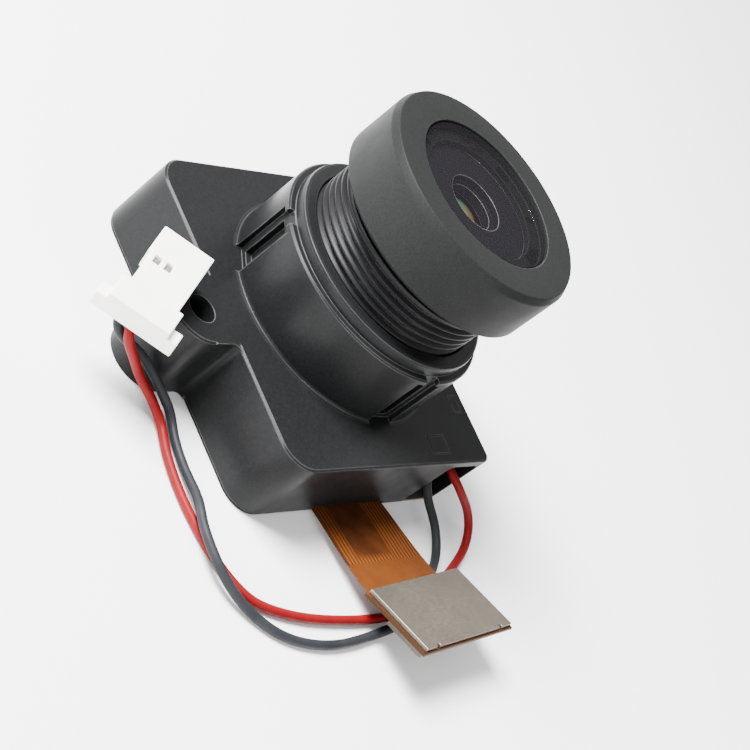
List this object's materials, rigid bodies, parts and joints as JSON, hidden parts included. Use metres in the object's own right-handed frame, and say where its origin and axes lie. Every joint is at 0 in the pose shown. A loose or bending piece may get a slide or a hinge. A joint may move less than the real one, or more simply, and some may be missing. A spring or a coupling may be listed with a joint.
{
  "type": "board camera lens module",
  "caption": "Small camera module: threaded wide-angle lens in a black box holder with a moving cut filter, flex tail and two-wire filter lead.",
  "frame": {"origin": "where the optical axis meets the flat back face of the holder", "axes": "+Z along the optical axis, out of the lens; -Y towards the flex tail; X along the line of the two ears"},
  "size_m": [0.0319, 0.0306, 0.0176],
  "materials": {
    "moulding": "fine-grained black moulding",
    "anodised": "satin black anodising",
    "flex_film": "amber film over copper",
    "steel": "satin steel",
    "pin_steel": "ground steel",
    "chip": "dark package",
    "clear_glass": "polished",
    "coated_glass": "green and amber coating",
    "window_tint": "dark violet tint",
    "filter_glass": "blue-green cut filter",
    "ceramic": "fired ceramic",
    "foam": "matte foam",
    "black_metal": "matte black",
    "nylon_white": "milky nylon",
    "nylon_cream": "cream resin",
    "magnet": "nickel plating",
    "copper": "enamelled copper",
    "tinned": "tin plating",
    "gold": "gold flash",
    "connector_resin": "dark resin",
    "insulation_red": "glossy insulation",
    "insulation_black": "glossy insulation"
  },
  "bodies": {
    "housing": {"lens_holder": "moulding", "back_plate": "steel", "flex_circuit": "flex_film", "image_sensor": "chip", "sensor_glass": "clear_glass", "chip_capacitors": "ceramic", "light_gasket": "foam", "switcher_cover": "moulding", "cover_screws": "pin_steel", "blade_pin": "pin_steel", "rotor_pin": "pin_steel", "coil_bobbin": "nylon_cream", "coil_winding": "copper", "coil_yoke": "pin_steel", "tail_stiffener": "steel", "board_connector": "connector_resin", "connector_contacts": "gold", "wire_red": "insulation_red", "wire_black": "insulation_black", "plug_housing": "nylon_white", "plug_contacts": "tinned"},
    "blade": {"filter_blade": "black_metal", "day_filter": "filter_glass", "night_window": "clear_glass"},
    "rotor": {"rotor_magnet": "magnet", "rotor_arm": "nylon_cream"},
    "optics": {"front_element": "coated_glass", "middle_element": "clear_glass", "rear_element": "clear_glass", "aperture_stop": "black_metal", "lens_spacers": "anodised"},
    "lens": {"lens_barrel": "anodised", "lens_hood": "anodised", "front_window": "window_tint", "aperture_plate": "black_metal", "inner_retainer": "anodised", "rear_retainer": "anodised"}
  },
  "joints": [
    {"name": "focus_slide", "type": "slide", "parent": "housing", "child": "optics", "axis": [0, 0, 1], "range_m": [-0.00101, 0.00101]},
    {"name": "focus_turn", "type": "hinge", "parent": "optics", "child": "lens", "pos_m": [0, 0, 0.012], "axis": [0, 0, 1], "range_deg": [-720, 720]},
    {"name": "blade_swing", "type": "hinge", "parent": "housing", "child": "blade", "pos_m": [0, -0.00745, 0.0026], "axis": [0, 0, 1], "range_deg": [-39, 0]},
    {"name": "rotor_turn", "type": "hinge", "parent": "housing", "child": "rotor", "pos_m": [0.0046, -0.00577, 0.003], "axis": [0, 0, 1], "range_deg": [0, 63.6]}
  ],
  "couplings": [
    {"joint": "focus_slide", "follows": "focus_turn", "m_per_rad": 0.000079577},
    {"joint": "rotor_turn", "follows": "blade_swing", "ratio": -1.6236}
  ]
}
